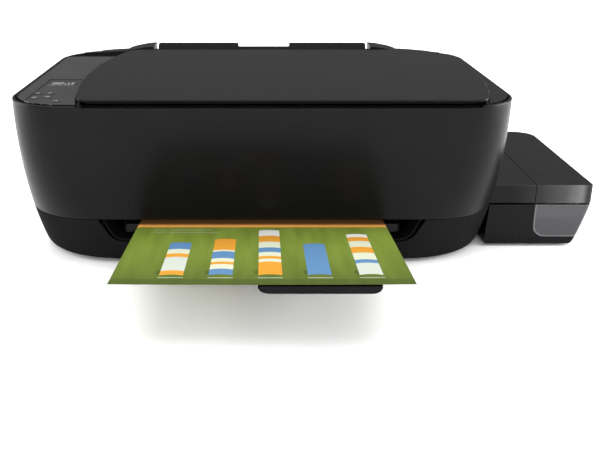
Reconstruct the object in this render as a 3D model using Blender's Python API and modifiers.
"""An all-in-one inkjet printer with an ink tank at its right side, as separate pieces.

The design frame has X to the right of the body's middle, Y back from the front face and Z up
from the desk. One empty shifts it, so that the world's origin lies under the middle of the model.
Lengths are in metres.
"""

import math

import bmesh
import bpy
from mathutils import Vector

MM = 0.001

# ---- driving dimensions ------------------------------------------------------------------
BODY_HALF = 215.5 * MM        # half the width of the body at its rim
BODY_REAR = 296 * MM          # rear face of the body at its rim
RIM_Z = 150 * MM              # top edge of the upper housing
SEAM_Z = 47 * MM              # joint between the base and the upper housing
FOOT_HEIGHT = 3 * MM
WALL = 2.5 * MM               # wall of the housing mouldings
GAP = 0.3 * MM                # space between pieces that touch
SIDE_TAPER = 6 * MM           # how far the sides curve in towards the desk
FRONT_TAPER = 32.3 * MM
REAR_TAPER = 8 * MM
TAPER_POWER = 2.05
FRONT_CORNER = 51 * MM        # plan radius of the front corners at the rim
CORNER_GROWTH = 29 * MM       # extra radius of the front corners at the desk
REAR_CORNER = 56 * MM
CORNER_STEPS = 7

DECK_FLOOR_Z = RIM_Z - 32 * MM    # underside of the scanner
DECK_TOP_Z = RIM_Z - 2.5 * MM     # plate round the scanner glass
DECK_REAR = BODY_REAR - 27 * MM
BEZEL_TOP_Z = RIM_Z + 0.8 * MM
LID_PLATE_Z = RIM_Z + 3 * MM      # underside of the lid's outer plate
LID_TOP_Z = RIM_Z + 5.4 * MM
LID_FRONT = 4 * MM
LID_REAR = BODY_REAR - 28 * MM
PANEL_FRONT = 5.5 * MM
PANEL_REAR = BODY_REAR - 48 * MM
RIM_WIDTH = 4.8 * MM          # housing wall and deck rim outside the control panel
FINGER_DIP_Z = RIM_Z - 1.4 * MM   # housing edge under the lid's front edge
FINGER_DEPTH = 14 * MM        # depth of the finger gap under the lid's front edge
GLASS_LEFT = -126 * MM
GLASS_RIGHT = 176 * MM
GLASS_FRONT = 26 * MM
GLASS_REAR = 246 * MM
GLASS_THICK = 2.5 * MM
PAD_THICK = 2.4 * MM

OPENING_TOP_HALF = 146 * MM   # paper outlet in the front of the base
OPENING_LOW_HALF = 132 * MM
OPENING_LOW_Z = 23 * MM

TANK_RIGHT = 308.5 * MM
TANK_FRONT = 70 * MM
TANK_REAR = BODY_REAR - 21 * MM
TANK_TOP_Z = 61 * MM
TANK_BAND_Z = 43.5 * MM       # lower edge of the tank's covers
TANK_CASE_TOP_Z = 42 * MM
TANK_FLOOR_Z = 2 * MM
TANK_SLOPE = 14 * MM          # how far the case's right side leans in
TANK_SEAM_X = 255 * MM        # seam between the fixed cover and the lid
TANK_CORNER_REAR = 22 * MM
TANK_CORNER_FRONT = 5 * MM
TANK_COUNT = 4

SHEET_WIDTH = 215.9 * MM
SHEET_LENGTH = 279.4 * MM
SHEET_THICK = 0.25 * MM
SHEET_OUT = 172.8 * MM        # length of sheet outside the slot
SLOT_Y = 30.7 * MM
SLOT_Z = 40.5 * MM
SHEET_SLOPE = math.radians(5.05)
TRAY_HALF = 123 * MM
TRAY_DROP = 1.2 * MM          # space between the sheet and the tray
ARM_DROP = 0.2 * MM
TRAY_THICK = 7.6 * MM
TRAY_LENGTH = 126 * MM
ARM_WIDTH = 88 * MM           # pull-out arm that carries the front of the sheet
ARM_MIDDLE_X = 41 * MM
ARM_THICK = 5 * MM
ARM_LENGTH = 236 * MM
ARM_REACH = 4.5 * MM          # how far the arm stands out past the sheet

FEED_Y = BODY_REAR + 7 * MM       # top of the paper support
FEED_Z = RIM_Z + 7.6 * MM
FEED_LEAN = math.radians(17)
SUPPORT_HALF = 118 * MM
SUPPORT_LENGTH = 118 * MM
SUPPORT_THICK = 3 * MM
CHUTE_FRONT = 15 * MM         # inside of the paper chute, measured from the support
CHUTE_BACK = 3.5 * MM
CHUTE_WALL = 2.2 * MM
CHUTE_HALF = 120.6 * MM
CHUTE_LOW_Z = 64 * MM
HUMP_REAR = BODY_REAR + 13.5 * MM
HUMP_HALF = 150 * MM
HUMP_CORNER = 12 * MM
SHOULDER_SPACE = 8 * MM       # between the lid and the raised rear shoulders

ROLLER_Z = 50 * MM
SHAFT_RADIUS = 2.5 * MM
FEED_ROLLER_Y = 150 * MM
GEAR_MODULE = 1.5 * MM
ROLLER_TEETH = 20
IDLER_TEETH = 24
GEAR_X = -146 * MM
GEAR_WIDTH = 6 * MM

CARRIAGE_REST_X = 150 * MM
BELT_Y = 158 * MM
BELT_Z = 92 * MM
PULLEY_RADIUS = 6 * MM
BELT_HALF = 176 * MM


# ---- scene ------------------------------------------------------------------------------
for old in list(bpy.data.objects):
    bpy.data.objects.remove(old, do_unlink=True)

parts = bpy.data.collections.new("inkjet_printer")
cutters = bpy.data.collections.new("cutters")
bpy.context.scene.collection.children.link(parts)
bpy.context.scene.collection.children.link(cutters)

SHEET_FRONT = SLOT_Y - SHEET_OUT * math.cos(SHEET_SLOPE)
ARM_FRONT = SHEET_FRONT - ARM_REACH - (TRAY_DROP + ARM_DROP + ARM_THICK) * math.sin(SHEET_SLOPE)
MIDDLE_X = (TANK_RIGHT - BODY_HALF) / 2
MIDDLE_Y = (HUMP_REAR + ARM_FRONT) / 2


def empty(name, place, tilt=0.0, parent=None):
    """An empty at place, tipped about X."""
    node = bpy.data.objects.new(name, None)
    node.location = place
    node.rotation_euler.x = tilt
    node.parent = parent
    cutters.objects.link(node)
    return node


frame = empty("design_frame", (-MIDDLE_X, -MIDDLE_Y, 0))
sheet_plane = empty("sheet_plane", (0, SLOT_Y, SLOT_Z), -SHEET_SLOPE, frame)
feed_plane = empty("feed_plane", (0, FEED_Y, FEED_Z), -FEED_LEAN, frame)


# ---- materials --------------------------------------------------------------------------
def material(name, color, roughness, metallic=0.0, alpha=1.0):
    found = bpy.data.materials.get(name)
    if found:
        return found
    made = bpy.data.materials.new(name)
    made.use_nodes = True
    made.diffuse_color = (*color, alpha)
    shader = made.node_tree.nodes["Principled BSDF"]
    shader.inputs["Base Color"].default_value = (*color, 1)
    shader.inputs["Roughness"].default_value = roughness
    shader.inputs["Metallic"].default_value = metallic
    shader.inputs["Alpha"].default_value = alpha
    return made


BLACK = ("black_plastic", (0.018, 0.017, 0.019), 0.45)
LID_BLACK = ("lid_plastic", (0.045, 0.044, 0.047), 0.4)
PANEL_GREY = ("panel_plastic", (0.1, 0.1, 0.105), 0.25)
LCD_DARK = ("lcd_window", (0.02, 0.02, 0.022), 0.08)
GLASS = ("glass", (0.75, 0.85, 0.85), 0.03, 0.0, 0.4)
WHITE_PAD = ("white_pad", (0.85, 0.85, 0.84), 0.8)
RUBBER = ("rubber", (0.03, 0.03, 0.03), 0.8)
STEEL = ("steel", (0.55, 0.55, 0.57), 0.35, 1.0)
ENGINE_GREY = ("engine_plastic", (0.12, 0.12, 0.125), 0.5)
GEAR_WHITE = ("gear_plastic", (0.8, 0.79, 0.74), 0.45)
BOARD_GREEN = ("circuit_board", (0.02, 0.16, 0.06), 0.5)
WINDOW = ("smoked_window", (0.13, 0.12, 0.14), 0.2, 0.0, 0.6)
TUBE_CLEAR = ("tube_silicone", (0.5, 0.5, 0.52), 0.4)
PAPER = ("printed_paper", (0.3, 0.42, 0.09), 0.6)
INKS = {
    "black": ("black_ink", (0.01, 0.01, 0.012), 0.2),
    "cyan": ("cyan_ink", (0.0, 0.25, 0.5), 0.2),
    "magenta": ("magenta_ink", (0.5, 0.01, 0.15), 0.2),
    "yellow": ("yellow_ink", (0.75, 0.55, 0.02), 0.2),
}


# ---- modelling helpers ------------------------------------------------------------------
def adopt(obj, name, finish, parent=None):
    """Name an object, give it its finish and place it in the design frame."""
    obj.name = name
    obj.data.name = name
    for group in list(obj.users_collection):
        group.objects.unlink(obj)
    target = parts if finish else cutters
    target.objects.link(obj)
    obj.parent = parent or frame
    obj.data.materials.clear()
    if finish:
        obj.data.materials.append(material(*finish))
    else:
        obj.hide_render = True
        obj.display_type = "WIRE"
    return obj


def from_bmesh(bm, name, finish, parent=None):
    bmesh.ops.recalc_face_normals(bm, faces=bm.faces)
    if bm.calc_volume(signed=True) < 0:
        bmesh.ops.reverse_faces(bm, faces=bm.faces)
    mesh = bpy.data.meshes.new(name)
    bm.to_mesh(mesh)
    bm.free()
    obj = bpy.data.objects.new(name, mesh)
    bpy.context.scene.collection.objects.link(obj)
    return adopt(obj, name, finish, parent)


def box(name, low, high, finish=None, parent=None, round_edge=0.0):
    """A box between two corners, with its edges rounded if asked."""
    bm = bmesh.new()
    bmesh.ops.create_cube(bm, size=1)
    for vert in bm.verts:
        for axis in range(3):
            vert.co[axis] = low[axis] + (vert.co[axis] + 0.5) * (high[axis] - low[axis])
    obj = from_bmesh(bm, name, finish, parent)
    if round_edge:
        soften(obj, round_edge)
    return obj


def soften(obj, width, segments=2):
    bevel = obj.modifiers.new("rounding", "BEVEL")
    bevel.width = width
    bevel.segments = segments
    bevel.limit_method = "ANGLE"
    bevel.angle_limit = math.radians(40)
    return obj


def cylinder(name, start, end, radius, finish=None, parent=None, sides=24):
    """A cylinder between two points on a line along one axis."""
    axis = max(range(3), key=lambda k: abs(end[k] - start[k]))
    bm = bmesh.new()
    length = abs(end[axis] - start[axis])
    bmesh.ops.create_cone(bm, cap_ends=True, segments=sides, radius1=radius, radius2=radius, depth=length)
    for vert in bm.verts:
        x, y, z = vert.co
        turned = ((z, y, -x), (x, z, -y), (x, y, z))[axis]
        for k in range(3):
            vert.co[k] = turned[k] + (start[k] + end[k]) / 2
    obj = from_bmesh(bm, name, finish, parent)
    smooth(obj)
    return obj


def smooth(obj):
    obj.data.shade_smooth()
    obj.data.set_sharp_from_angle(angle=math.radians(35))
    return obj


def prism(name, outline, low, high, axis=2, finish=None, parent=None):
    """A flat outline pushed from low to high along an axis: 0 gives (y, z) outlines, 1 gives (x, z)."""
    curve = bpy.data.curves.new(name, "CURVE")
    curve.dimensions = "2D"
    curve.fill_mode = "BOTH"
    curve.extrude = (high - low) / 2
    line = curve.splines.new("POLY")
    line.points.add(len(outline) - 1)
    for point, (u, v) in zip(line.points, outline):
        point.co = (u, v, 0, 1)
    line.use_cyclic_u = True
    flat = bpy.data.objects.new(name, curve)
    cutters.objects.link(flat)
    bpy.context.view_layer.update()
    seen = flat.evaluated_get(bpy.context.evaluated_depsgraph_get())
    mesh = bpy.data.meshes.new_from_object(seen)
    bpy.data.objects.remove(flat, do_unlink=True)
    bm = bmesh.new()
    bm.from_mesh(mesh)
    bmesh.ops.remove_doubles(bm, verts=bm.verts, dist=0.00001)
    middle = (low + high) / 2
    for vert in bm.verts:
        u, v, w = vert.co
        vert.co = ((w + middle, u, v), (u, w + middle, v), (u, v, w + middle))[axis]
    return from_bmesh(bm, name, finish, parent)


def loft(name, rings, finish=None, parent=None, closed_tube=False):
    """Skin a stack of rings with the same number of points; the ends are capped or joined."""
    bm = bmesh.new()
    rows = [[bm.verts.new(point) for point in ring] for ring in rings]
    pairs = list(zip(rows, rows[1:]))
    if closed_tube:
        pairs.append((rows[-1], rows[0]))
    for lower, upper in pairs:
        for k in range(len(lower)):
            after = (k + 1) % len(lower)
            bm.faces.new((lower[k], lower[after], upper[after], upper[k]))
    if not closed_tube:
        bm.faces.new(rows[0])
        bm.faces.new(rows[-1])
    return smooth(from_bmesh(bm, name, finish, parent))


def boolean(obj, other, operation="DIFFERENCE"):
    change = obj.modifiers.new(other.name, "BOOLEAN")
    change.operation = operation
    change.solver = "EXACT"
    change.object = other
    return obj


def cut(obj, *tools):
    for tool in tools:
        boolean(obj, tool)
    return obj


def join(obj, *others):
    for other in others:
        boolean(obj, other, "UNION")
    return obj


def rounded(corners, steps=CORNER_STEPS):
    """A closed outline from (x, y, radius) corners, with an arc of the given radius at each."""
    points = []
    for k, (x, y, radius) in enumerate(corners):
        corner = Vector((x, y))
        back = (Vector(corners[k - 1][:2]) - corner).normalized()
        ahead = (Vector(corners[(k + 1) % len(corners)][:2]) - corner).normalized()
        half_angle = back.angle(ahead) / 2
        if radius <= 0 or half_angle > 0.49 * math.pi:
            points.append((x, y))
            continue
        reach = radius / math.tan(half_angle)
        centre = corner + (back + ahead).normalized() * radius / math.sin(half_angle)
        start = corner + back * reach - centre
        end = corner + ahead * reach - centre
        first = math.atan2(start.y, start.x)
        sweep = (math.atan2(end.y, end.x) - first + math.pi) % (2 * math.pi) - math.pi
        for step in range(steps + 1):
            angle = first + sweep * step / steps
            points.append((centre.x + radius * math.cos(angle), centre.y + radius * math.sin(angle)))
    return points


# ---- hull of the body -------------------------------------------------------------------
def taper(z):
    return max(0.0, 1 - z / RIM_Z) ** TAPER_POWER


def hull_half(z, inset=0.0):
    return BODY_HALF - SIDE_TAPER * taper(z) - inset


def hull_front(z, inset=0.0):
    return FRONT_TAPER * taper(z) + inset


def hull_outline(z, inset=0.0):
    """Plan outline of the body at height z."""
    half = hull_half(z, inset)
    front = hull_front(z, inset)
    rear = BODY_REAR - REAR_TAPER * taper(z) - inset
    near = FRONT_CORNER + CORNER_GROWTH * taper(z) - inset
    far = REAR_CORNER - inset
    return rounded([(half, front, near), (half, rear, far), (-half, rear, far), (-half, front, near)])


def hull_ring(z, inset=0.0):
    return [(x, y, z) for x, y in hull_outline(z, inset)]


def hull_side_x(y, z, inset):
    """Half width of the body at depth y, for pieces that follow its edge."""
    half = hull_half(z, inset)
    front = hull_front(z, inset)
    near = FRONT_CORNER + CORNER_GROWTH * taper(z) - inset
    rear = BODY_REAR - REAR_TAPER * taper(z) - inset
    far = REAR_CORNER - inset
    if y < front + near:
        return half - near + math.sqrt(max(0.0, near ** 2 - (front + near - y) ** 2))
    if y > rear - far:
        return half - far + math.sqrt(max(0.0, far ** 2 - (y - rear + far) ** 2))
    return half


# ---- casings ----------------------------------------------------------------------------
def make_base():
    low = FOOT_HEIGHT
    top = SEAM_Z - GAP / 2
    heights = [low, low + 2 * MM, low + 6 * MM, low + 13 * MM, low + 24 * MM, low + 34 * MM, top]
    edge = [2.5 * MM, 0.8 * MM, 0, 0, 0, 0, 0]
    outside = [hull_ring(z, e) for z, e in zip(heights, edge)]
    inside = [hull_ring(z, WALL) for z in reversed(heights[1:])]
    floor_ring = hull_ring(low + WALL, WALL + 1.5 * MM)
    inside[-1] = floor_ring
    base = loft("base_tray", outside + inside, BLACK)
    opening = rounded([
        (OPENING_LOW_HALF, OPENING_LOW_Z, 16 * MM),
        (OPENING_TOP_HALF, SEAM_Z + 5 * MM, 0),
        (-OPENING_TOP_HALF, SEAM_Z + 5 * MM, 0),
        (-OPENING_LOW_HALF, OPENING_LOW_Z, 16 * MM),
    ], 5)
    cut(base, prism("outlet_cutter", opening, -5 * MM, 45 * MM, 1))
    inlet = box("inlet_cutter", (-168 * MM, BODY_REAR - 26 * MM, 17 * MM),
                (-142 * MM, BODY_REAR + 4 * MM, 37 * MM))
    port = box("port_cutter", (-132.3 * MM, BODY_REAR - 26 * MM, 19.7 * MM),
               (-119.7 * MM, BODY_REAR + 4 * MM, 31.3 * MM))
    tube_way = box("tube_way_cutter", (180 * MM, 171 * MM, 17 * MM), (215 * MM, 189 * MM, 23 * MM))
    cut(base, inlet, port, tube_way)


def make_housing():
    low = SEAM_Z + GAP / 2
    lower = [low + share * (DECK_FLOOR_Z - low) for share in (0, 0.16, 0.36, 0.6)]
    heights = lower + [DECK_FLOOR_Z, FINGER_DIP_Z, RIM_Z]
    edge = [0, 0, 0, 0, 0, 0, 0.9 * MM]
    outside = [hull_ring(z, e) for z, e in zip(heights, edge)]
    inside = [hull_ring(z, WALL) for z in reversed(heights)]
    housing = loft("upper_housing", outside + inside, BLACK, closed_tube=True)
    notch_half = CHUTE_HALF + CHUTE_WALL + 1 * MM
    cut(housing, box("chute_notch", (-notch_half, BODY_REAR - 21 * MM, RIM_Z - 50 * MM),
                     (notch_half, BODY_REAR + 9 * MM, RIM_Z + 10 * MM)))
    cut(housing, box("finger_dip", (lid_left(LID_FRONT) - 1 * MM, -10 * MM, FINGER_DIP_Z),
                     (lid_right(LID_FRONT) - 4 * MM, 10 * MM, RIM_Z + 10 * MM)))


def lid_left(y):
    return -163.5 * MM + 15.3 * MM * ((y - 120 * MM) / (130 * MM)) ** 2


def lid_right(y):
    return 203 * MM - 16.5 * MM * ((y - 130 * MM) / (120 * MM)) ** 2


def lid_outline(grow=0.0, front=LID_FRONT, rear=LID_REAR):
    """Outline of the lid: two bowed sides between straight front and rear edges."""
    steps = 8
    radii = {0: 9 * MM, steps: 26 * MM}
    right = []
    left = []
    for k in range(steps + 1):
        y = front - grow + (rear - front + 2 * grow) * k / steps
        radius = radii.get(k, 0.0)
        right.append((lid_right(y) + grow, y, radius))
        left.append((lid_left(y) - grow, y, radius * 0.8))
    return rounded(right + left[::-1], 5)


def panel_outline(grow=0.0):
    """The crescent between the left edge of the body and the lid."""
    front = PANEL_FRONT
    rear = PANEL_REAR
    steps = 10
    outer = []
    inner = []
    for k in range(steps + 1):
        y = front + (rear - front) * (k / steps) ** 1.5
        edge_y = y - grow if k == 0 else y + grow if k == steps else y
        outer.append((-hull_side_x(y, RIM_Z, RIM_WIDTH) - grow, edge_y))
        inner.append((lid_left(y) - 1.2 * MM + grow, edge_y))
    return inner + outer[::-1]


def make_scanner():
    plan = [(x, min(y, DECK_REAR)) for x, y in hull_outline(DECK_FLOOR_Z, WALL + 0.5 * MM)]
    deck = prism("scanner_deck", thin_out(plan), DECK_FLOOR_Z, BEZEL_TOP_Z, 2, LID_BLACK)
    over = 20 * MM
    lid_room = prism("lid_room", lid_outline(0.8 * MM), DECK_TOP_Z, BEZEL_TOP_Z + over)
    panel_room = prism("panel_room", panel_outline(GAP), DECK_TOP_Z, BEZEL_TOP_Z + over)
    finger_gap = box("finger_gap", (lid_left(LID_FRONT) - 1 * MM, -5 * MM, DECK_TOP_Z),
                     (lid_right(LID_FRONT) - 4 * MM, 25 * MM, BEZEL_TOP_Z + over))
    rear_step = box("rear_step", (-230 * MM, LID_REAR - 25 * MM, DECK_TOP_Z),
                    (lid_right(LID_REAR), DECK_REAR + over, BEZEL_TOP_Z + over))
    glass_seat = box("glass_seat", (GLASS_LEFT - GAP, GLASS_FRONT - GAP, DECK_TOP_Z - GLASS_THICK - GAP),
                     (GLASS_RIGHT + GAP, GLASS_REAR + GAP, BEZEL_TOP_Z + over))
    ledge = 4 * MM
    window = box("scan_window", (GLASS_LEFT + ledge, GLASS_FRONT + ledge, DECK_TOP_Z - 8 * MM),
                 (GLASS_RIGHT - ledge, GLASS_REAR - ledge, BEZEL_TOP_Z + over))
    hollow = box("scanner_hollow", (GLASS_LEFT - 22 * MM, 14 * MM, DECK_FLOOR_Z + WALL),
                 (GLASS_RIGHT + 6 * MM, DECK_REAR - 11 * MM, DECK_TOP_Z - GLASS_THICK - 2.2 * MM))
    pocket = box("panel_pocket", (-199 * MM, 14 * MM, DECK_TOP_Z - 9 * MM),
                 (-167 * MM, 112 * MM, DECK_TOP_Z + over))
    cut(deck, lid_room, panel_room, finger_gap, rear_step, glass_seat, window, hollow, pocket)
    box("scanner_glass", (GLASS_LEFT, GLASS_FRONT, DECK_TOP_Z - GLASS_THICK),
        (GLASS_RIGHT, GLASS_REAR, DECK_TOP_Z), GLASS)
    rail_y = (GLASS_FRONT + GLASS_REAR) / 2
    rail_low = DECK_FLOOR_Z + WALL - 1 * MM
    rail = box("scan_rail", (GLASS_LEFT - 24 * MM, rail_y - 4 * MM, rail_low),
               (GLASS_RIGHT + 8 * MM, rail_y + 4 * MM, rail_low + 6 * MM))
    join(deck, rail)
    bar_left = GLASS_LEFT - 18 * MM
    bar = box("scan_bar", (bar_left, GLASS_FRONT - 4 * MM, rail_low + 3 * MM),
              (bar_left + 18 * MM, GLASS_REAR + 4 * MM, DECK_TOP_Z - GLASS_THICK - 2.6 * MM), ENGINE_GREY)
    cut(bar, box("rail_groove", (bar_left - 5 * MM, rail_y - 4.5 * MM, rail_low),
                 (bar_left + 25 * MM, rail_y + 4.5 * MM, rail_low + 6.5 * MM)))


def thin_out(points, least=0.2 * MM):
    """Drop outline points that lie closer together than least."""
    kept = []
    for point in points:
        if not kept or math.dist(point, kept[-1]) > least:
            kept.append(point)
    if math.dist(kept[0], kept[-1]) <= least:
        kept.pop()
    return kept


def make_lid():
    lid = prism("scanner_lid", lid_outline(), LID_PLATE_Z, LID_TOP_Z, 2, LID_BLACK)
    under = prism("lid_under", lid_outline(-1.5 * MM, LID_FRONT + FINGER_DEPTH, LID_REAR),
                  DECK_TOP_Z + GAP, LID_PLATE_Z + 1 * MM)
    join(lid, under)
    margin = 3 * MM
    pad_low = (GLASS_LEFT - margin, GLASS_FRONT - margin, DECK_TOP_Z + GAP)
    pad_high = (GLASS_RIGHT + margin, GLASS_REAR + margin, DECK_TOP_Z + GAP + PAD_THICK)
    pocket = box("pad_pocket", (pad_low[0] - GAP, pad_low[1] - GAP, DECK_TOP_Z - 1 * MM),
                 (pad_high[0] + GAP, pad_high[1] + GAP, pad_high[2] + GAP))
    cut(lid, pocket)
    box("lid_pad", pad_low, pad_high, WHITE_PAD)


BUTTONS = {
    "power_button": (-172 * MM, 20 * MM),
    "cancel_button": (-195 * MM, 52 * MM),
    "resume_button": (-184 * MM, 52 * MM),
    "black_copy_button": (-193.5 * MM, 33 * MM),
    "color_copy_button": (-183 * MM, 36 * MM),
}
BUTTON_RADIUS = 3.4 * MM
LCD_LOW = (-196 * MM, 88 * MM)
LCD_HIGH = (-170.5 * MM, 107 * MM)


def make_panel():
    panel = prism("control_panel", panel_outline(), DECK_TOP_Z + GAP, BEZEL_TOP_Z, 2, PANEL_GREY)
    field = prism("panel_field", rounded([
        (-166.5 * MM, 13 * MM, 4 * MM), (-168 * MM, 117 * MM, 3 * MM),
        (-199 * MM, 117 * MM, 3 * MM), (-199 * MM, 24 * MM, 9 * MM), (-192 * MM, 13 * MM, 8 * MM),
    ], 4), BEZEL_TOP_Z - 0.7 * MM, BEZEL_TOP_Z + 5 * MM)
    cut(panel, field)
    lcd_hole = box("lcd_hole", (LCD_LOW[0] - GAP, LCD_LOW[1] - GAP, DECK_TOP_Z - 5 * MM),
                   (LCD_HIGH[0] + GAP, LCD_HIGH[1] + GAP, BEZEL_TOP_Z + 5 * MM))
    cut(panel, lcd_hole)
    box("lcd_display", (LCD_LOW[0], LCD_LOW[1], DECK_TOP_Z - 3 * MM),
        (LCD_HIGH[0], LCD_HIGH[1], BEZEL_TOP_Z - 0.6 * MM), LCD_DARK)
    for name, (x, y) in BUTTONS.items():
        hole = cylinder(name + "_hole", (x, y, DECK_TOP_Z - 5 * MM), (x, y, BEZEL_TOP_Z + 5 * MM),
                        BUTTON_RADIUS + 0.25 * MM, sides=20)
        cut(panel, hole)
        cylinder(name, (x, y, DECK_TOP_Z - 3 * MM), (x, y, BEZEL_TOP_Z + 0.2 * MM),
                 BUTTON_RADIUS, PANEL_GREY, sides=20)


# ---- rear paper feed --------------------------------------------------------------------
def feed_y(z, offset=0.0):
    """Depth of the paper support's middle plane at height z, moved by offset."""
    return FEED_Y - (FEED_Z - z) * math.tan(FEED_LEAN) + offset


def make_chute():
    top = RIM_Z + 1.5 * MM
    low = CHUTE_LOW_Z
    front = -CHUTE_FRONT - CHUTE_WALL
    back = CHUTE_BACK + CHUTE_WALL
    duct = [(feed_y(low, front), low), (feed_y(low, back), low),
            (feed_y(top, back), top), (feed_y(top, front), top)]
    half = CHUTE_HALF + CHUTE_WALL
    chute = prism("paper_chute", duct, -half, half, 0, BLACK)
    wall_y = BODY_REAR + GAP
    hump_plan = rounded([(HUMP_HALF, HUMP_REAR, HUMP_CORNER), (-HUMP_HALF, HUMP_REAR, HUMP_CORNER),
                         (-HUMP_HALF, wall_y, 0), (HUMP_HALF, wall_y, 0)], 4)
    hump = prism("hump", hump_plan, RIM_Z - 50 * MM, top)
    hump_side = [(wall_y - 1 * MM, RIM_Z - 46 * MM), (wall_y + 5 * MM, RIM_Z - 40 * MM),
                 (HUMP_REAR + 1 * MM, RIM_Z - 22 * MM), (HUMP_REAR + 1 * MM, top + 1 * MM),
                 (wall_y - 1 * MM, top + 1 * MM)]
    boolean(hump, prism("hump_side", hump_side, -half - 50 * MM, half + 50 * MM, 0), "INTERSECT")
    foot = RIM_Z + GAP
    side = [(HUMP_HALF + 30 * MM, foot, 0), (HUMP_HALF + 30 * MM, foot + 0.8 * MM, 0),
            (HUMP_HALF + 2 * MM, foot + 2.2 * MM, 25 * MM),
            (130 * MM, FEED_Z - 1 * MM, 20 * MM), (118 * MM, FEED_Z, 0)]
    mirrored = [(-x, z, radius) for x, z, radius in reversed(side)]
    shoulders = prism("shoulders", rounded(side + mirrored, 4), LID_REAR + SHOULDER_SPACE, HUMP_REAR, 1)
    over_body = prism("over_body", hull_outline(RIM_Z, 0.9 * MM), RIM_Z - 2 * MM, FEED_Z + 5 * MM)
    over_hump = prism("over_hump", rounded([
        (HUMP_HALF, HUMP_REAR, HUMP_CORNER), (-HUMP_HALF, HUMP_REAR, HUMP_CORNER),
        (-HUMP_HALF, LID_REAR, 0), (HUMP_HALF, LID_REAR, 0)], 4), RIM_Z - 2 * MM, FEED_Z + 5 * MM)
    boolean(shoulders, join(over_body, over_hump), "INTERSECT")
    shelf = prism("rear_shelf", hull_outline(DECK_FLOOR_Z, WALL + 0.5 * MM), RIM_Z - 5 * MM, foot + 0.6 * MM)
    cut(shelf, box("deck_side", (-BODY_HALF, -10 * MM, DECK_FLOOR_Z),
                   (BODY_HALF, DECK_REAR + 0.4 * MM, FEED_Z)))
    cut(shelf, box("lid_swing", (-BODY_HALF, DECK_REAR - 5 * MM, DECK_TOP_Z),
                   (BODY_HALF, LID_REAR + SHOULDER_SPACE, FEED_Z)))
    tip = 40 * MM
    well = prism("well", [(feed_y(low - tip, -CHUTE_FRONT), low - tip), (feed_y(low - tip, CHUTE_BACK), low - tip),
                          (feed_y(top + tip, CHUTE_BACK), top + tip), (feed_y(top + tip, -CHUTE_FRONT), top + tip)],
                 -CHUTE_HALF, CHUTE_HALF, 0)
    over_back = box("over_back", (-CHUTE_HALF, feed_y(RIM_Z, -CHUTE_FRONT), RIM_Z),
                    (CHUTE_HALF, HUMP_REAR + tip, top + tip))
    over_front = box("over_front", (-CHUTE_HALF, LID_REAR, RIM_Z), (CHUTE_HALF, feed_y(RIM_Z), top + tip))
    join(chute, hump, shoulders, shelf)
    cut(chute, well, over_back, over_front)


def make_support():
    half_thick = SUPPORT_THICK / 2
    support = box("input_tray", (-SUPPORT_HALF, -half_thick, -SUPPORT_LENGTH),
                  (SUPPORT_HALF, half_thick, 0), BLACK, feed_plane)
    recess = prism("finger_recess", rounded([
        (31 * MM, -4.2 * MM, 1.5 * MM), (31 * MM, 10 * MM, 0), (-27 * MM, 10 * MM, 0), (-27 * MM, -4.2 * MM, 1.5 * MM),
    ], 3), -5 * MM, 0, 1, None, feed_plane)
    cut(support, recess)
    for side, name in ((-1, "paper_guide_left"), (1, "paper_guide_right")):
        edge = side * (SHEET_WIDTH / 2 + 0.8 * MM)
        face = -half_thick - GAP
        foot = box(name, (min(edge, edge - side * 22 * MM), face - 1.6 * MM, -104 * MM),
                   (max(edge, edge - side * 22 * MM), face, -66 * MM), BLACK, feed_plane)
        fin = box(name + "_fin", (min(edge, edge + side * 2 * MM), face - 10 * MM, -108 * MM),
                  (max(edge, edge + side * 2 * MM), face, -58 * MM), None, feed_plane)
        join(foot, fin)


# ---- paper outlet -----------------------------------------------------------------------
def make_outlet():
    rear_step = -6 * MM
    tray = box("output_tray", (-TRAY_HALF, rear_step, -TRAY_DROP - TRAY_THICK),
               (TRAY_HALF, rear_step + TRAY_LENGTH, -TRAY_DROP), BLACK, sheet_plane)
    left = ARM_MIDDLE_X - ARM_WIDTH / 2
    right = ARM_MIDDLE_X + ARM_WIDTH / 2
    side_play = 0.5 * MM
    groove = box("arm_groove", (left - side_play, -40 * MM, -TRAY_DROP - ARM_DROP - ARM_THICK - 0.4 * MM),
                 (right + side_play, 200 * MM, 10 * MM), None, sheet_plane)
    cut(tray, groove)
    arm_end = -(SHEET_OUT + ARM_REACH / math.cos(SHEET_SLOPE))
    plan = rounded([(right, arm_end, 9 * MM), (right, arm_end + ARM_LENGTH, 2 * MM),
                    (left, arm_end + ARM_LENGTH, 2 * MM), (left, arm_end, 9 * MM)], 5)
    top = -TRAY_DROP - ARM_DROP
    arm = prism("tray_extender", plan, top - ARM_THICK, top, 2, BLACK, sheet_plane)
    near = arm_end + 10 * MM
    far = arm_end + 34 * MM
    hollow = rounded([(right - 20 * MM, near, 3 * MM), (right - 20 * MM, far, 3 * MM),
                      (left + 12 * MM, far, 3 * MM), (left + 12 * MM, near, 3 * MM)], 3)
    cut(arm, prism("arm_recess", hollow, top - 2 * MM, top + 5 * MM, 2, None, sheet_plane))
    box("printed_sheet", (-SHEET_WIDTH / 2, -SHEET_OUT, -SHEET_THICK),
        (SHEET_WIDTH / 2, SHEET_LENGTH - SHEET_OUT, 0), PAPER, sheet_plane)


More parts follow.
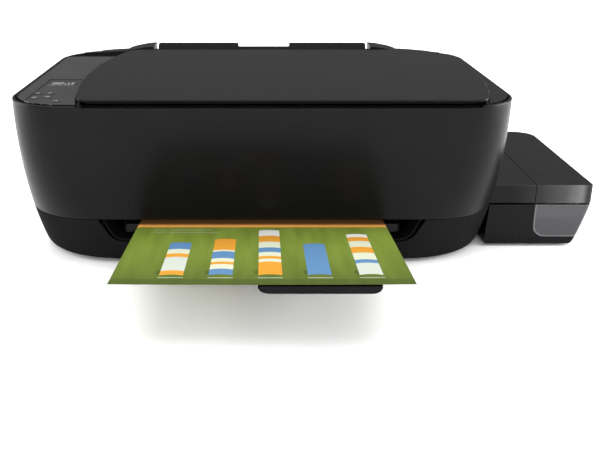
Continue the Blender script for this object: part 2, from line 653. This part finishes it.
# ---- ink tank ---------------------------------------------------------------------------
def tank_outline(z, inset=0.0, left=None, right=None):
    """Plan outline of the tank at height z; its left side follows the body."""
    lean = max(0.0, (TANK_BAND_Z - z) / TANK_BAND_Z)
    right_x = (TANK_RIGHT - TANK_SLOPE * lean ** 1.2 - inset) if right is None else right
    left_x = (hull_half(z) + 0.5 * MM + inset) if left is None else left
    front = TANK_FRONT + inset
    rear = TANK_REAR - inset
    near = max(0.5 * MM, TANK_CORNER_FRONT - inset) if right is None else 0.0
    far = max(0.5 * MM, TANK_CORNER_REAR - inset) if right is None else 0.0
    return rounded([(right_x, front, near), (right_x, rear, far),
                    (left_x, rear, 0.0), (left_x, front, 0.0)], 5)


def tank_ring(z, inset=0.0, **sides):
    return [(x, y, z) for x, y in tank_outline(z, inset, **sides)]


def tank_shell(name, finish=None, wall=WALL):
    low = TANK_FLOOR_Z
    heights = [low, low + 2.5 * MM, low + 8 * MM, 22 * MM, 33 * MM, TANK_CASE_TOP_Z]
    edge = [2.5 * MM, 0.6 * MM, 0, 0, 0, 0]
    outside = [tank_ring(z, e) for z, e in zip(heights, edge)]
    inside = [tank_ring(z, wall) for z in reversed(heights[1:])]
    return loft(name, outside + inside, finish)


def window_outline(grow=0.0):
    """Side view of the window, seen from the right."""
    return rounded([
        (TANK_FRONT - 10 * MM, 10 * MM - grow, 0), (TANK_REAR - 32 * MM + grow, 10 * MM - grow, 9 * MM),
        (TANK_REAR - 32 * MM + grow, TANK_CASE_TOP_Z + 5 * MM, 0), (TANK_FRONT - 10 * MM, TANK_CASE_TOP_Z + 5 * MM, 0),
    ], 4)


def front_window_outline(grow=0.0):
    left = TANK_SEAM_X + 0.5 * MM - grow
    return rounded([
        (left, 10 * MM - grow, 8 * MM), (TANK_RIGHT + 10 * MM, 10 * MM - grow, 0),
        (TANK_RIGHT + 10 * MM, TANK_CASE_TOP_Z + 5 * MM, 0), (left, TANK_CASE_TOP_Z + 5 * MM, 0),
    ], 5)


def window_tool(label, grow):
    side = prism("window_side_" + label, window_outline(grow), 280 * MM, TANK_RIGHT + 10 * MM, 0)
    front = prism("window_front_" + label, front_window_outline(grow),
                  TANK_FRONT - 10 * MM, TANK_FRONT + 12 * MM, 1)
    return join(side, front)


def make_tank():
    case = tank_shell("tank_case", BLACK)
    way = box("case_tube_way", (190 * MM, 171 * MM, 17 * MM), (225 * MM, 189 * MM, 23 * MM))
    cut(case, way, window_tool("opening", 0.0))
    window = tank_shell("tank_window", WINDOW, 2 * MM)
    boolean(window, window_tool("pane", -GAP), "INTERSECT")
    top = TANK_TOP_Z
    low = TANK_BAND_Z
    heights = [low, top - 1.2 * MM, top]
    cover_right = TANK_SEAM_X - GAP
    lid_left_x = TANK_SEAM_X + GAP
    cover = [tank_ring(z, right=cover_right) for z in (top, low)]
    cover += [tank_ring(z, WALL, right=cover_right - WALL) for z in (low, top - WALL)]
    loft("tank_cover", cover, LID_BLACK)
    outside = [tank_ring(z, edge, left=lid_left_x) for z, edge in zip(heights, (0, 0, 0.9 * MM))]
    lid = loft("tank_lid", outside, LID_BLACK)
    inside = [tank_ring(z, WALL, left=lid_left_x - 5 * MM) for z in (low - 5 * MM, top - WALL)]
    cut(lid, loft("tank_lid_inside", inside))
    make_ink_tanks()


def make_ink_tanks():
    inside_front = TANK_FRONT + WALL + 1.5 * MM
    inside_rear = TANK_REAR - WALL - 12 * MM
    pitch = (inside_rear - inside_front) / TANK_COUNT
    left = TANK_SEAM_X + 3 * MM
    low = 6 * MM
    high = 39 * MM
    profile = [(left, low), (TANK_RIGHT - 20 * MM, low), (TANK_RIGHT - 6.5 * MM, high), (left, high)]
    strap_x = TANK_SEAM_X + 12 * MM
    neck_x = strap_x + 13 * MM
    cap_z = TANK_BAND_Z + 0.9 * MM
    for k, ink in enumerate(INKS):
        start = inside_front + pitch * k
        end = start + pitch - 1.5 * MM
        tank = prism(ink + "_ink_tank", profile, start, end, 1, INKS[ink])
        middle = (start + end) / 2
        neck = cylinder(ink + "_neck", (neck_x, middle, high - 2 * MM), (neck_x, middle, cap_z - GAP),
                        7 * MM, sides=20)
        join(tank, neck)
        cap = cylinder(ink + "_tank_cap", (neck_x, middle, cap_z), (neck_x, middle, cap_z + 7 * MM),
                       9 * MM, RUBBER, sides=24)
        strap = box(ink + "_cap_strap", (strap_x, middle - 4 * MM, cap_z),
                    (neck_x, middle + 4 * MM, cap_z + 1.6 * MM))
        join(cap, strap)


# ---- print engine -----------------------------------------------------------------------
def gear(name, y, teeth, phase, x=GEAR_X, z=ROLLER_Z, bore=SHAFT_RADIUS + 0.1 * MM):
    """A spur gear on an X axis, with straight-sided teeth."""
    radius = GEAR_MODULE * teeth / 2
    tip = radius + 0.75 * GEAR_MODULE
    root = radius - 1.15 * GEAR_MODULE
    pitch = 2 * math.pi / teeth
    points = []
    for k in range(teeth):
        middle = pitch * (k + phase)
        for share, r in ((-0.27, root), (-0.12, tip), (0.12, tip), (0.27, root)):
            angle = middle + share * pitch
            points.append((y + r * math.cos(angle), z + r * math.sin(angle)))
    wheel = prism(name, points, x, x + GEAR_WIDTH, 0, GEAR_WHITE)
    cut(wheel, cylinder(name + "_bore", (x - 1 * MM, y, z), (x + GEAR_WIDTH + 1 * MM, y, z), bore, sides=16))


def make_rollers():
    roller_reach = GEAR_MODULE * ROLLER_TEETH / 2
    idler_reach = GEAR_MODULE * IDLER_TEETH / 2
    idler_y = FEED_ROLLER_Y - roller_reach - idler_reach
    output_y = idler_y - idler_reach - roller_reach
    for name, y, radius in (("feed_roller", FEED_ROLLER_Y, 6 * MM), ("output_roller", output_y, 4.5 * MM)):
        shaft = cylinder(name, (GEAR_X - 8 * MM, y, ROLLER_Z), (121 * MM, y, ROLLER_Z),
                         SHAFT_RADIUS, RUBBER, sides=16)
        drum = cylinder(name + "_drum", (-110 * MM, y, ROLLER_Z), (110 * MM, y, ROLLER_Z), radius, sides=24)
        join(shaft, drum)
    gear("feed_gear", FEED_ROLLER_Y, ROLLER_TEETH, 0)
    gear("idler_gear", idler_y, IDLER_TEETH, 0.5)
    gear("output_gear", output_y, ROLLER_TEETH, 0)
    frame_x = GEAR_X - 3 * MM
    side = box("side_frame", (frame_x - 1.2 * MM, output_y - 14 * MM, 14 * MM),
               (frame_x, FEED_ROLLER_Y + 12 * MM, 84 * MM), STEEL)
    for name, y in (("feed_shaft_way", FEED_ROLLER_Y), ("output_shaft_way", output_y)):
        cut(side, cylinder(name, (frame_x - 5 * MM, y, ROLLER_Z), (frame_x + 5 * MM, y, ROLLER_Z),
                           SHAFT_RADIUS + 0.3 * MM, sides=16))
    join(side, cylinder("idler_pin", (frame_x - 1 * MM, idler_y, ROLLER_Z),
                        (GEAR_X + GEAR_WIDTH + 1 * MM, idler_y, ROLLER_Z), SHAFT_RADIUS, sides=16))
    cylinder("feed_motor", (GEAR_X - 30 * MM, 192 * MM, 62 * MM), (GEAR_X - 5 * MM, 192 * MM, 62 * MM),
             16 * MM, STEEL)
    plate = box("platen", (-108 * MM, output_y + 8 * MM, 45 * MM),
                (108 * MM, FEED_ROLLER_Y - 9 * MM, 48 * MM), ENGINE_GREY)
    for k in range(9):
        x = (-96 + 24 * k) * MM
        rib = box("platen_rib_%d" % k, (x - 1 * MM, output_y + 9 * MM, 47 * MM),
                  (x + 1 * MM, FEED_ROLLER_Y - 10 * MM, 50 * MM))
        join(plate, rib)


def make_carriage():
    rail = [(164, 86), (166, 86), (166, 110), (180, 110), (180, 112), (164, 112)]
    prism("carriage_rail", [(y * MM, z * MM) for y, z in rail], -186 * MM, 186 * MM, 0, STEEL)
    x = CARRIAGE_REST_X
    half = 34 * MM
    top = 112 * MM
    body = box("printhead_carriage", (x - half, 96 * MM, 57 * MM), (x + half, 150 * MM, top), ENGINE_GREY)
    for k in (-1, 1):
        bay = box("cartridge_bay_%d" % k, (x + k * 16 * MM - 13.5 * MM, 90 * MM, 60 * MM),
                  (x + k * 16 * MM + 13.5 * MM, 146 * MM, 104 * MM))
        nozzle_way = box("nozzle_way_%d" % k, (x + k * 16 * MM - 8.5 * MM, 112 * MM, 50 * MM),
                         (x + k * 16 * MM + 8.5 * MM, 134 * MM, 62 * MM))
        cut(body, bay, nozzle_way)
    clip = box("belt_clip", (x - 8 * MM, 149 * MM, BELT_Z - PULLEY_RADIUS - 4 * MM),
               (x + 8 * MM, BELT_Y + 4 * MM, BELT_Z - PULLEY_RADIUS + 3.4 * MM))
    join(body, clip)
    belt_way = box("belt_way", (x - 12 * MM, BELT_Y - 3.5 * MM, BELT_Z - PULLEY_RADIUS - 1.7 * MM),
                   (x + 12 * MM, BELT_Y + 3.5 * MM, BELT_Z - PULLEY_RADIUS + 0.5 * MM))
    cut(body, belt_way)
    for k, name in ((-1, "black_printhead"), (1, "color_printhead")):
        middle = x + k * 16 * MM
        head = box(name, (middle - 12.5 * MM, 98 * MM, 60.4 * MM),
                   (middle + 12.5 * MM, 145 * MM, 103 * MM), BLACK)
        nozzle = box(name + "_nozzle", (middle - 7.5 * MM, 113 * MM, 53 * MM),
                     (middle + 7.5 * MM, 133 * MM, 61 * MM))
        join(head, nozzle)
    box("printhead_latch", (x - 30 * MM, 92.2 * MM, 84 * MM), (x + 30 * MM, 95.6 * MM, 109 * MM),
        ENGINE_GREY, None, 1 * MM)


def make_belt_drive():
    outer = PULLEY_RADIUS + 1.2 * MM
    inner = PULLEY_RADIUS + 0.2 * MM

    def loop(radius):
        points = []
        for side in (1, -1):
            for k in range(9):
                angle = math.pi * k / 8 - side * math.pi / 2
                x = side * BELT_HALF + radius * math.cos(angle)
                points.append((x, BELT_Z + radius * math.sin(angle)))
        return points

    belt = prism("drive_belt", loop(outer), BELT_Y - 3 * MM, BELT_Y + 3 * MM, 1, RUBBER)
    cut(belt, prism("belt_inside", loop(inner), BELT_Y - 5 * MM, BELT_Y + 5 * MM, 1))
    for side, name in ((1, "motor_pulley"), (-1, "idler_pulley")):
        x = side * BELT_HALF
        cylinder(name, (x, BELT_Y - 3.2 * MM, BELT_Z), (x, BELT_Y + 3.2 * MM, BELT_Z),
                 PULLEY_RADIUS, GEAR_WHITE, sides=20)
    x = BELT_HALF
    cylinder("carriage_motor", (x, 183 * MM, BELT_Z), (x, 215 * MM, BELT_Z), 13 * MM, STEEL)


def make_service_station():
    station = box("service_station", (126 * MM, 98 * MM, 30 * MM), (178 * MM, 140 * MM, 49 * MM), ENGINE_GREY)
    for k in (-1, 1):
        middle = CARRIAGE_REST_X + k * 16 * MM
        well = box("cap_well_%d" % k, (middle - 9 * MM, 111 * MM, 45 * MM),
                   (middle + 9 * MM, 135 * MM, 55 * MM))
        cut(station, well)


def make_electrics():
    board = box("main_board", (-197 * MM, 60 * MM, 58 * MM), (-195.4 * MM, 180 * MM, 108 * MM), BOARD_GREEN)
    for k, (y, z, depth) in enumerate(((80, 75, 18), (120, 80, 24), (158, 92, 14))):
        chip = box("chip_%d" % k, (-195.6 * MM, (y - depth / 2) * MM, (z - depth / 2) * MM),
                   (-192.5 * MM, (y + depth / 2) * MM, (z + depth / 2) * MM))
        join(board, chip)
    box("power_supply", (-176 * MM, 184 * MM, 8 * MM), (-126 * MM, 242 * MM, 40 * MM), BLACK, None, 2 * MM)
    back = BODY_REAR - 5.6 * MM
    inlet = box("power_inlet", (-167.5 * MM, back - 24.4 * MM, 17.5 * MM),
                (-142.5 * MM, back, 36.5 * MM), BLACK)
    socket = prism("socket_hollow", rounded([
        (-145.5 * MM, 22.5 * MM, 4.3 * MM), (-145.5 * MM, 31.5 * MM, 4.3 * MM),
        (-164.5 * MM, 31.5 * MM, 4.3 * MM), (-164.5 * MM, 22.5 * MM, 4.3 * MM)], 4), back - 15.4 * MM, back + 14 * MM, 1)
    cut(inlet, socket)
    for k in (-1, 1):
        x = -155 * MM + k * 4.3 * MM
        pin = cylinder("pin_%d" % k, (x, back - 20 * MM, 27 * MM), (x, back - 4.4 * MM, 27 * MM),
                       1.2 * MM, sides=12)
        join(inlet, pin)
    port = box("usb_port", (-132 * MM, back - 22.4 * MM, 20 * MM), (-120 * MM, back, 31 * MM), STEEL)
    cut(port, box("usb_hollow", (-130.6 * MM, back - 12.4 * MM, 21.4 * MM),
                   (-121.4 * MM, back + 14 * MM, 29.6 * MM)))
    tongue = box("usb_tongue", (-128.7 * MM, back - 13.4 * MM, 24 * MM),
                 (-123.3 * MM, back - 1.4 * MM, 27 * MM))
    join(port, tongue)


def make_tubes():
    curve = bpy.data.curves.new("ink_tubes", "CURVE")
    curve.dimensions = "3D"
    curve.bevel_depth = 2.2 * MM
    curve.bevel_resolution = 2
    curve.use_fill_caps = True
    route = [(254, 180, 20), (232, 180, 20), (206, 180, 20), (186, 180, 20), (176, 179, 22), (170, 176, 28),
             (168, 173, 38), (168, 172, 55), (168, 172, 75), (168, 172, 84)]
    line = curve.splines.new("POLY")
    line.points.add(len(route) - 1)
    for point, place in zip(line.points, route):
        point.co = (*(value * MM for value in place), 1)
    tube = bpy.data.objects.new("ink_tubes", curve)
    cutters.objects.link(tube)
    adopt(tube, "ink_tubes", TUBE_CLEAR)


def make_feet():
    for name, x, y in (("foot_front_left", -150, 62), ("foot_front_right", 150, 62),
                       ("foot_rear_left", -150, 250), ("foot_rear_right", 150, 250)):
        cylinder(name, (x * MM, y * MM, 0), (x * MM, y * MM, FOOT_HEIGHT - GAP), 9 * MM, RUBBER)


make_base()
make_housing()
make_scanner()
make_lid()
make_panel()
make_chute()
make_support()
make_outlet()
make_tank()
make_rollers()
make_carriage()
make_belt_drive()
make_service_station()
make_electrics()
make_tubes()
make_feet()
